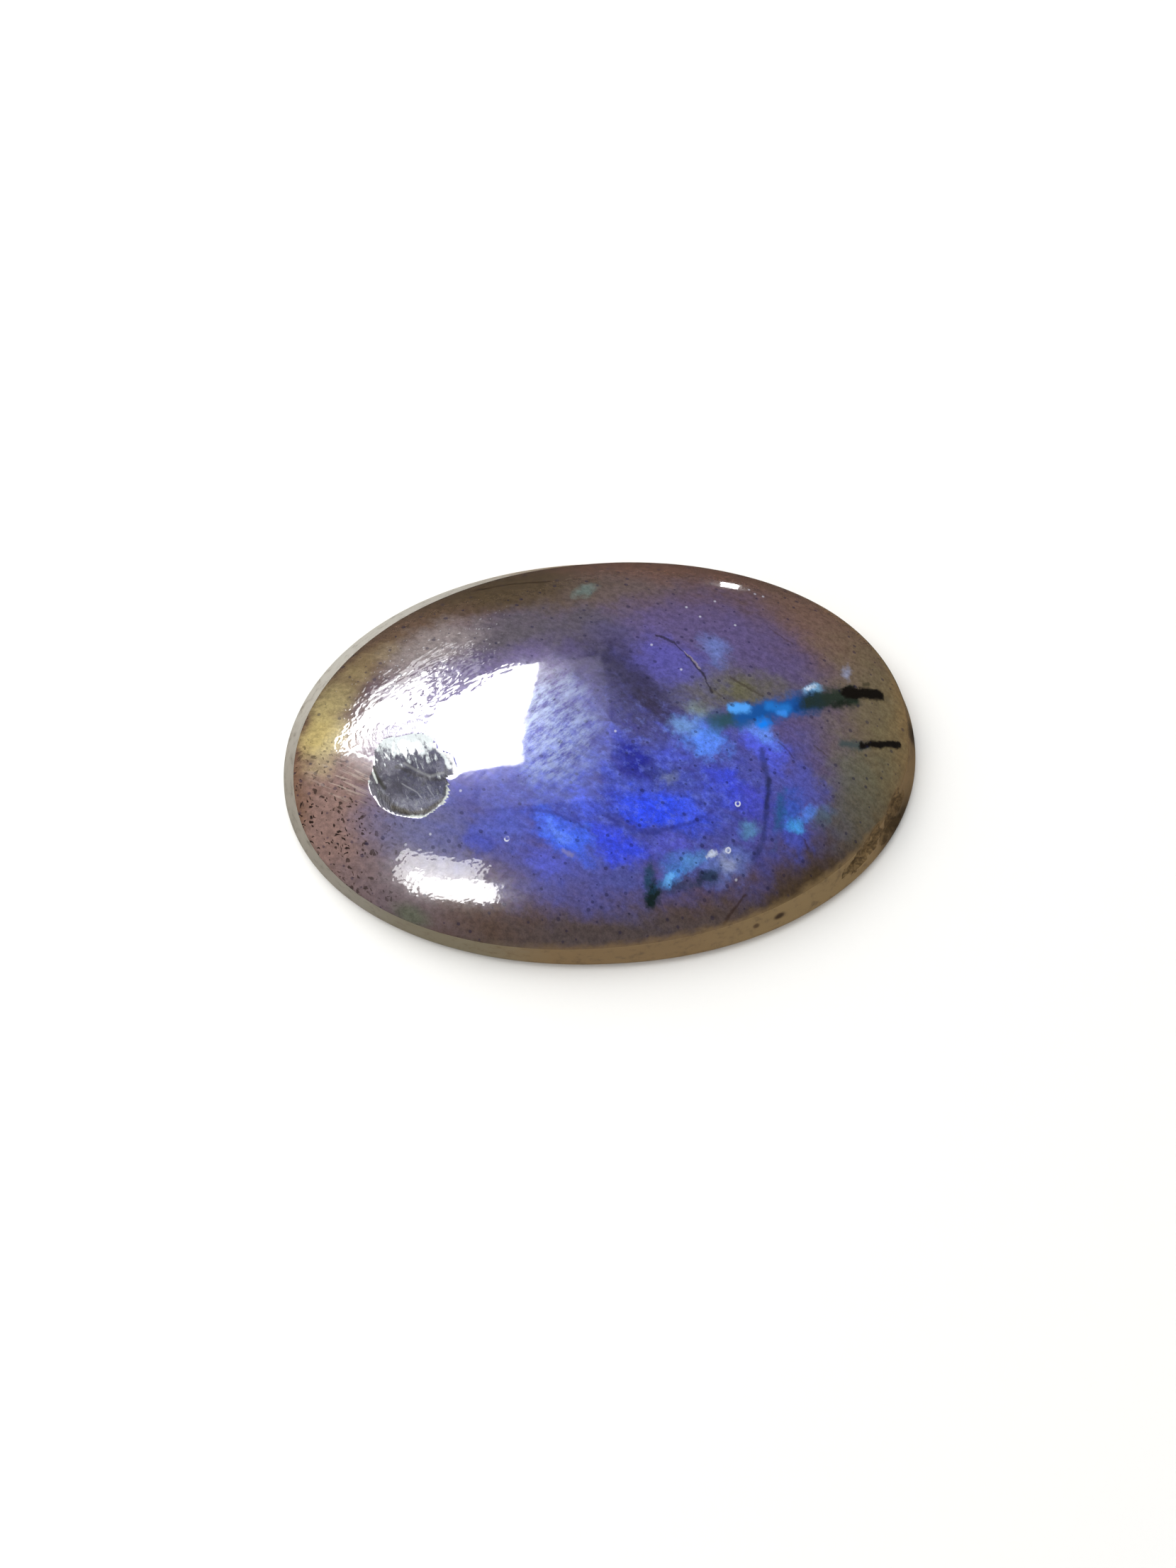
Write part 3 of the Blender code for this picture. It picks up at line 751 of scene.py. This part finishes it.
# Bundles of fine scratches at the left end, drawn as pale threads of painted highlight where they catch
# the light and darker threads; and painted highlights, dots and broken rings, where small pits catch the
# light
scratch_zone = patch(t, place, (-12.9, -1.2), -35, (2.6, 1.6), 0.8, 0.45)
threads = cloud(t, along_grain(t, place, math.radians(-33), 2.6, 0.14), 1.0, 3.0, 0.6)
colour = blend_colours(t, maths(t, "MULTIPLY", ramp(t, threads, 0.56, 0.66), scratch_zone), colour,
                       seen(206, 190, 176))
colour = blend_colours(t, maths(t, "MULTIPLY", ramp(t, threads, 0.44, 0.34, 0.0, 0.5), scratch_zone),
                       colour, seen(84, 60, 52))
flat_place = vector_maths(t, "MULTIPLY", place, (1.0, 1.0, 0.0))
# Painted highlights: bright dots where small pits catch the light, the last three a trail beside the glint
GLINT_DOTS = ((5.70, -7.40), (0.15, -0.50), (4.9, 5.5), (5.8, 6.5), (4.3, 6.1), (6.6, 5.0), (-7.35, -2.7),
        (-8.9, -4.5), (-10.1, -4.8), (3.6, 2.5), (2.3, 3.9), (7.75, 7.45), (8.0, 7.15), (8.4, 7.0))
DOT_EDGE, DOT_CORE = 0.09, 0.03
for x, y in GLINT_DOTS:
    distance = vector_maths(t, "DISTANCE", flat_place, (x, y, 0.0))
    dot = ramp(t, distance, DOT_EDGE, DOT_CORE, 0.0, 0.6)
    colour = blend_colours(t, dot, colour, seen(214, 216, 232))
# Painted highlights: broken bright rings on the rims of small pits
RINGS = ((5.85, -4.10, 0.11), (-5.30, -5.10, 0.10), (5.3, -6.15, 0.11))
RING_EDGE, RING_CORE = 0.05, 0.02
part_of_ring = ramp(t, cloud(t, place, 3.0, 1.0), 0.40, 0.50, 0.1, 0.9)
for x, y, radius in RINGS:
    distance = vector_maths(t, "DISTANCE", flat_place, (x, y, 0.0))
    from_ring = maths(t, "ABSOLUTE", maths(t, "SUBTRACT", distance, radius))
    ring = maths(t, "MULTIPLY", ramp(t, from_ring, RING_EDGE, RING_CORE), part_of_ring)
    colour = blend_colours(t, ring, colour, seen(230, 234, 250))
# Painted glints: pale specks painted where scratches and pits catch the light where the polish is poor:
# turn, scale, amount, size
PAINTED_GLINTS = ((24, 3.8, 0.20, 0.15), (80, 5.0, 0.20, 0.15))
painted_glint_zone = patch(t, place, (-8.2, 4.8), 14, (5.6, 2.2), 0.8, 0.45, cloud(t, place, 0.7, 3.0), 1.0)
for turn, scale, amount, size in PAINTED_GLINTS:
    painted_glints = specks(t, place, math.radians(turn), 1.5, scale, amount, size)
    colour = blend_colours(t, maths(t, "MULTIPLY", painted_glints, painted_glint_zone), colour, seen(216, 216, 222))
# Painted reflection: a pale blue, mottled haze painted in the middle beside the window's reflection, as
# the window's glow in the polish, with darker mottles between
painted_haze_zone = patch(t, place, (-3.1, 0.0), 8, (3.2, 3.8), 0.8, 1.0, cloud(t, place, 0.9, 4.0), 0.8)
haze_mottle = cloud(t, along_grain(t, place, math.radians(34), 2.3, 0.85), 3.0, 5.0, 0.75)
painted_haze = maths(t, "MULTIPLY", ramp(t, haze_mottle, 0.33, 0.67, 0.0, 0.62), painted_haze_zone)
clear = maths(t, "MULTIPLY", ramp(t, haze_mottle, 0.46, 0.34, 0.0, 0.18), painted_haze_zone)
colour = blend_colours(t, painted_haze, colour, seen(180, 202, 238))
colour = blend_colours(t, clear, colour, seen(66, 72, 132))
# At its foot, lower right, the dome takes on the tone of the wall
wall_colour = put(t, "ShaderNodeGroup", {"Place": place}, node_tree=wall_group).outputs[0]
away = put(t, "ShaderNodeSeparateXYZ", {"Vector": place}).outputs
lower_right = ramp(t, maths(t, "SUBTRACT", away["X"], away["Y"]), 0.0, 9.0)
height = maths(t, "MULTIPLY_ADD", cloud(t, place, 1.3, 4.0), -1.0, away["Z"])
foot = maths(t, "MULTIPLY", ramp(t, height, 2.2, 1.6, 0.0, 0.7), lower_right)
colour = blend_colours(t, foot, colour, wall_colour)
LABRADORITE_IOR = 1.56
POLISH_ROUGHNESS = (0.03, 0.08)
polish_shader = t.nodes["Principled BSDF"]
t.links.new(colour, polish_shader.inputs["Base Color"])
polish_shader.inputs["IOR"].default_value = LABRADORITE_IOR
smears = cloud(t, place, 0.9, 4.0)
roughness = ramp(t, smears, 0.3, 0.7, *POLISH_ROUGHNESS)
t.links.new(roughness, polish_shader.inputs["Roughness"])
# The polish never reached the upper left side well: it has kept the small facets of the grinding.
# Heights are in millimetres.
SKIN_HEIGHT = 0.006
BROAD_FACETS = 0.052
NARROW_FACETS = 0.013
CRACKS_HEIGHT = 0.13
unpolished = patch(t, place, (-10.2, 4.2), 20, (9.0, 4.6), 0.5)
worn_side = patch(t, place, (-8.6, -6.2), -15, (4.2, 3.0), 0.6, 0.5)
rubbed = maths(t, "MAXIMUM", unpolished, worn_side)
broad = cloud(t, along_grain(t, place, math.radians(24), 1.5, 0.8), 1.5, 2.0, 0.6)
narrow = cloud(t, along_grain(t, place, math.radians(80), 1.6, 0.9), 3.2, 1.0, 0.5)
skin = maths(t, "MULTIPLY", cloud(t, place, 1.1, 2.0, 0.5), SKIN_HEIGHT)
facets = maths(t, "MULTIPLY_ADD", broad, BROAD_FACETS, maths(t, "MULTIPLY", narrow, NARROW_FACETS))
# Above the scar its cracks run on in the polish
cracked = patch(t, place, (-10.3, 0.35), -4, (2.4, 0.9), 0.7, 1.0, narrow, 0.6)
ribs = put(t, "ShaderNodeGroup", {"Place": place}, node_tree=rib_group).outputs[0]
skin = maths(t, "MULTIPLY_ADD", maths(t, "MULTIPLY", ribs, CRACKS_HEIGHT), cracked, skin)
bump = put(t, "ShaderNodeBump", {"Height": maths(t, "MULTIPLY_ADD", facets, rubbed, skin),
                                 "Distance": MM, "Strength": 1.0})
t.links.new(bump.outputs[0], polish_shader.inputs["Normal"])
# A thin haze lies over the polish, and less of it where the facets are
HAZE = (0.25, 0.75)
HAZE_ROUGHNESS = 0.24
HAZE_LOST = 0.6
haze = ramp(t, haze_mottle, 0.34, 0.64, *HAZE)
haze = maths(t, "MULTIPLY", haze, maths(t, "MULTIPLY_ADD", unpolished, -HAZE_LOST, 1.0))
t.links.new(haze, polish_shader.inputs["Coat Weight"])
polish_shader.inputs["Coat Roughness"].default_value = HAZE_ROUGHNESS

# Fresh break, where the flake came off and where the rim has crumbled
fresh_break, t, place = new_material("fresh break")
body = put(t, "ShaderNodeGroup", {"Place": place}, node_tree=body_group)
break_shader = t.nodes["Principled BSDF"]
crackle = cloud(t, place, 4.0, 5.0, 0.7)
flat_place = vector_maths(t, "MULTIPLY", place, (1.0, 1.0, 0.0))
in_scar = patch(t, flat_place, (-9.6, -1.8), 0, (3.5, 3.5), 0.1)
wall_colour = put(t, "ShaderNodeGroup", {"Place": place}, node_tree=wall_group).outputs[0]
rim_break = blend_colours(t, ramp(t, crackle, 0.40, 0.62, 0.75, 0.15), wall_colour, seen(66, 52, 34))
scar_colour = blend_colours(t, 0.15, seen(80, 80, 90), body.outputs["Colour"])
mottle = cloud(t, place, 2.6, 5.0, 0.75)
scar_colour = blend_colours(t, ramp(t, mottle, 0.50, 0.68, 0.0, 0.75), scar_colour, seen(116, 119, 127))
scar_colour = blend_colours(t, ramp(t, mottle, 0.50, 0.34, 0.0, 0.75), scar_colour, seen(66, 67, 72))
# The upper part of the scar is crushed to a crumb, painted near white as a painted highlight where its
# broken facets catch the window, and lengths of its lip carry painted highlights too
RIBS_REACH = 2.8
crushed = patch(t, flat_place, (-9.6, 0.95), -14, (3.8, 2.6), 0.8, 1.0, mottle, 0.3)
ribs = put(t, "ShaderNodeGroup", {"Place": flat_place}, node_tree=rib_group).outputs[0]
crumb = maths(t, "MULTIPLY_ADD", maths(t, "SUBTRACT", ribs, 0.5), RIBS_REACH, crushed)
crumb = ramp(t, crumb, 0.25, 0.80)
# Painted highlight: the crumb painted near white
scar_colour = blend_colours(t, crumb, scar_colour, seen(244, 252, 253))
# The crumb is glassy, so it lights up with the window above it
CRUMB_ROUGHNESS = 0.06
t.links.new(ramp(t, crumb, 0.1, 0.9), break_shader.inputs["Coat Weight"])
break_shader.inputs["Coat Roughness"].default_value = CRUMB_ROUGHNESS
break_shader.inputs["Coat IOR"].default_value = LABRADORITE_IOR
# Painted shade and light in the scar: dark lines where the inside of its lip and the foot of its ledge lie
# in shade, a pale line of painted highlight along the lit edge of the ledge, and thin pale lines across
# its floor
SCAR_SHADE_AND_LIGHT_LINES = (
    (((-11.2, -2.2), (-10.7, -2.8), (-10.0, -3.3)), 0.22, 0.8, 1.2, 0.8, (62, 60, 62)),
    (((-10.6, -3.0), (-9.8, -3.4), (-8.9, -3.4), (-8.2, -3.0)), 0.24, 0.9, 1.4, 0.8, (60, 54, 42)),
    (((-10.3, -1.1), (-9.7, -1.4), (-9.2, -1.65), (-8.5, -2.0), (-7.9, -2.05)), 0.16, 0.9, 1.8, 0.7,
     (50, 48, 50)),
    (((-9.95, -1.0), (-9.3, -1.4), (-8.7, -1.75), (-8.1, -1.75)), 0.10, 0.9, 2.0, 0.6, (146, 148, 148)),
    (((-8.0, -1.7), (-7.9, -2.3), (-8.1, -2.7)), 0.20, 0.9, 1.2, 0.7, (62, 62, 64)),
    (((-11.5, -0.9), (-11.25, -1.5), (-10.95, -2.0)), 0.16, 0.9, 0.8, 0.8, (54, 54, 44)),
    (((-10.1, -1.9), (-9.4, -2.4), (-9.2, -2.7)), 0.05, 0.8, 1.4, 0.6, (160, 162, 168)),
    (((-8.9, -2.2), (-8.6, -2.8)), 0.05, 0.8, 1.4, 0.5, (150, 152, 160)),
)
# Painted highlights along the scar's lip, where its crushed pale edge catches the light; the broad one on
# the right is painted white to run into the window's reflection
LIP_HIGHLIGHTS = (
    (((-9.9, -3.6), (-9.05, -3.68), (-8.65, -3.52), (-8.2, -3.2), (-7.95, -2.8), (-7.9, -2.4)),
     0.15, 0.8, 2.4, 0.9, (206, 212, 206)),
    (((-8.8, 0.0), (-8.3, -0.55), (-8.0, -1.0), (-7.8, -1.5)), 0.15, 0.8, 2.0, 0.9, (236, 244, 244)),
    (((-8.3, -0.3), (-7.75, -0.8), (-7.45, -1.25), (-7.4, -1.8)), 0.34, 0.6, 1.2, 1.0, (254, 254, 254)),
    (((-11.9, -0.6), (-11.5, -1.1), (-11.3, -1.7)), 0.07, 0.7, 1.4, 0.9, (220, 226, 220)),
    (((-12.0, -1.1), (-11.7, -1.7)), 0.06, 0.7, 1.4, 0.9, (200, 206, 200)),
)
scar_colour = paint_routes(t, flat_place, mottle, scar_colour, SCAR_SHADE_AND_LIGHT_LINES)
scar_colour = paint_routes(t, flat_place, crackle, scar_colour, LIP_HIGHLIGHTS)
break_colour = blend_colours(t, in_scar, rim_break, scar_colour)
t.links.new(break_colour, break_shader.inputs["Base Color"])
BREAK_ROUGHNESS = 0.4
BREAK_GLOSS = 0.10
RIBS_HEIGHT = 0.08
CRACKLE_HEIGHT = 0.02
break_shader.inputs["Roughness"].default_value = BREAK_ROUGHNESS
break_shader.inputs["Specular IOR Level"].default_value = BREAK_GLOSS
crumbs = maths(t, "MULTIPLY_ADD", ribs, RIBS_HEIGHT, maths(t, "MULTIPLY", crackle, CRACKLE_HEIGHT))
bump = put(t, "ShaderNodeBump", {"Height": crumbs, "Distance": MM, "Strength": 1.0})
t.links.new(bump.outputs[0], break_shader.inputs["Normal"])

# Ground wall
WALL_ROUGHNESS = 0.35
ground_wall, t, place = new_material("ground wall")
wall_shader = t.nodes["Principled BSDF"]
wall_colour = put(t, "ShaderNodeGroup", {"Place": place}, node_tree=wall_group).outputs[0]
t.links.new(wall_colour, wall_shader.inputs["Base Color"])
wall_shader.inputs["Roughness"].default_value = WALL_ROUGHNESS

# Ground back: greyer than the rest, because it is left matt
BACK_ROUGHNESS = 0.6
BACK_GREYED = 0.6
ground_back, t, place = new_material("ground back")
body = put(t, "ShaderNodeGroup", {"Place": place}, node_tree=body_group)
back_shader = t.nodes["Principled BSDF"]
back_colour = blend_colours(t, BACK_GREYED, body.outputs["Colour"], seen(120, 116, 116))
t.links.new(back_colour, back_shader.inputs["Base Color"])
back_shader.inputs["Roughness"].default_value = BACK_ROUGHNESS

for material in (polish, ground_wall, ground_back, fresh_break):
    stone_mesh.materials.append(material)
stone_mesh.polygons.foreach_set("material_index", finishes.astype(np.int32))
stone_mesh.update()

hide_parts("cabochon")
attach(stone, "root")


# The floor
# A plain pale surface of matt paint that the stone stands on. It isn't part of the stone.
FLOOR_SIZE = 0.9
FLOOR_TONE = (0.97, 0.965, 0.94, 1.0)
FLOOR_ROUGHNESS = 0.9
floor_mesh = bpy.data.meshes.new("floor")
floor_sheet = bmesh.new()
bmesh.ops.create_grid(floor_sheet, x_segments=1, y_segments=1, size=FLOOR_SIZE / 2)
floor_sheet.to_mesh(floor_mesh)
floor_sheet.free()
floor = bpy.data.objects.new("floor", floor_mesh)
bpy.context.scene.collection.objects.link(floor)
floor_paint = bpy.data.materials.new("floor paint")
floor_paint.use_nodes = True
floor_shader = floor_paint.node_tree.nodes["Principled BSDF"]
floor_shader.inputs["Base Color"].default_value = FLOOR_TONE
floor_shader.inputs["Roughness"].default_value = FLOOR_ROUGHNESS
floor_mesh.materials.append(floor_paint)
# The stone is looked at against dark surroundings, so its polish does not mirror the floor
floor.visible_glossy = False


# The light
# Soft light from above and the upper left, with two bright windows that only show as
# reflections in the polish.
SKY_TONE = (0.8, 0.8, 0.8, 1.0)
SKY_IN_THE_POLISH = (0.08, 0.065, 0.055, 1.0)
SKY_SEEN = (1.75, 1.75, 1.72, 1.0)
SKY_BRIGHTNESS = 0.55
world = bpy.data.worlds.new("studio")
bpy.context.scene.world = world
world.use_nodes = True
sky = world.node_tree
background = sky.nodes["Background"]
rays = put(sky, "ShaderNodeLightPath").outputs
# The polish mirrors it as nearly dark, and seen straight on it is as pale as the floor
sky_colour = blend_colours(sky, rays["Is Glossy Ray"], SKY_TONE, SKY_IN_THE_POLISH)
sky_colour = blend_colours(sky, rays["Is Camera Ray"], sky_colour, SKY_SEEN)
sky.links.new(sky_colour, background.inputs["Color"])
background.inputs["Strength"].default_value = SKY_BRIGHTNESS


def add_light(name, place, size, brightness, reflections):
    """A rectangular light pointing straight down; brightness is its radiance."""
    lamp = bpy.data.lights.new(name, "AREA")
    lamp.shape = "RECTANGLE"
    lamp.size, lamp.size_y = size
    lamp.energy = brightness * math.pi * size[0] * size[1]
    light = bpy.data.objects.new(name, lamp)
    light.location = place
    bpy.context.scene.collection.objects.link(light)
    light.visible_camera = False
    light.visible_glossy = reflections
    light.visible_diffuse = not reflections
    return light


def face_stone(light, roll=0.0):
    """Turns a light to the stone, and then about the line to it."""
    turn = (-light.location).to_track_quat("-Z", "Y") @ Quaternion((0.0, 0.0, 1.0), roll)
    light.rotation_euler = turn.to_euler()


soft_box = add_light("soft box", (-0.20, 0.20, 0.55), (0.6, 0.6), 2.9, False)
face_stone(soft_box)

# Each window is made up of panes in one plane: its middle, its turns, and for each pane
# the place across and up, width, height and lean
WINDOW_BRIGHTNESS = 26.0
WINDOWS = (
    ((-0.147, 0.129, 0.25), (0.0, 19.0, -2.5),
     ((0.0, -0.029, 0.210, 0.180, 0.0),
      (0.0, 0.055, 0.205, 0.075, 16.0),
      (0.091, 0.083, 0.028, 0.067, 0.0))),
    ((-0.4515, 0.3365, 0.25), (0.0, 0.0, 154.4),
     ((0.046, 0.0, 0.473, 0.31, 0.0),
      (-0.212, 0.0375, 0.085, 0.235, 0.0),
      (-0.24, 0.0875, 0.085, 0.135, 0.0))),
)
for middle, turns, panes in WINDOWS:
    plane = Matrix.Translation(middle) @ Euler([math.radians(turn) for turn in turns]).to_matrix().to_4x4()
    for across, up, width, height, lean in panes:
        pane = add_light("window pane", middle, (width, height), WINDOW_BRIGHTNESS, True)
        in_plane = Matrix.Translation((across, up, 0.0)) @ Matrix.Rotation(math.radians(lean), 4, "Z")
        pane.matrix_world = plane @ in_plane
# A pale wall stands beside the near window and fades away from it, and more of it shows above both
NEAR_WINDOW_EDGE = -0.048
PALE_WALL = 3.6
PALE_WALL_REACHES = (0.070, 0.058, 0.046, 0.034, 0.022)
for reach in PALE_WALL_REACHES:
    place = (NEAR_WINDOW_EDGE + reach / 2, 0.130, 0.25)
    add_light("pale wall", place, (reach, 0.30), PALE_WALL / len(PALE_WALL_REACHES), True)
add_light("low wall", (-0.045, -0.045, 0.25), (0.12, 0.08), 0.7, True)
add_light("upper wall", (-0.220, 0.355, 0.25), (0.16, 0.12), 3.0, True)
far_wall = add_light("far wall", (-0.52, 0.705, 0.25), (0.54, 0.26), 6.0, True)
far_wall.rotation_euler.z = math.radians(154.4)
side_window = add_light("side window", (-0.260, -0.358, 0.205), (0.20, 0.19), 8.0, True)
face_stone(side_window, math.radians(13.0))
side_sill = add_light("side sill", (-0.214, -0.408, 0.150), (0.19, 0.12), 16.0, True)
face_stone(side_sill, math.radians(13.0))
# A glint from beside the stone
glint = add_light("glint", (0.098, 0.260, -0.100), (0.009, 0.032), 34.0, True)
face_stone(glint)


# The camera
# It looks down on the stone at 75 degrees from close by, a little turned.
AIM = Vector((-0.92 * MM, -1.59 * MM, 2.0 * MM))
DISTANCE = 119.7 * MM
ELEVATION = math.radians(75.0)
AZIMUTH = math.radians(-16.7)
ROLL = math.radians(12.8)
LENS = 55.33

back = Vector((math.sin(AZIMUTH) * math.cos(ELEVATION), -math.cos(AZIMUTH) * math.cos(ELEVATION),
               math.sin(ELEVATION)))
right = Vector((math.cos(AZIMUTH), math.sin(AZIMUTH), 0.0))
up = back.cross(right)
camera = bpy.data.objects.new("camera", bpy.data.cameras.new("camera"))
camera.data.lens = LENS
camera.data.clip_start = 0.005
camera.data.clip_end = 20.0
turned = Matrix((right, up, back)).transposed() @ Matrix.Rotation(ROLL, 3, "Z")
camera.matrix_world = Matrix.Translation(AIM + back * DISTANCE) @ turned.to_4x4()
bpy.context.scene.collection.objects.link(camera)
bpy.context.scene.camera = camera
bpy.context.scene.view_settings.view_transform = "Standard"
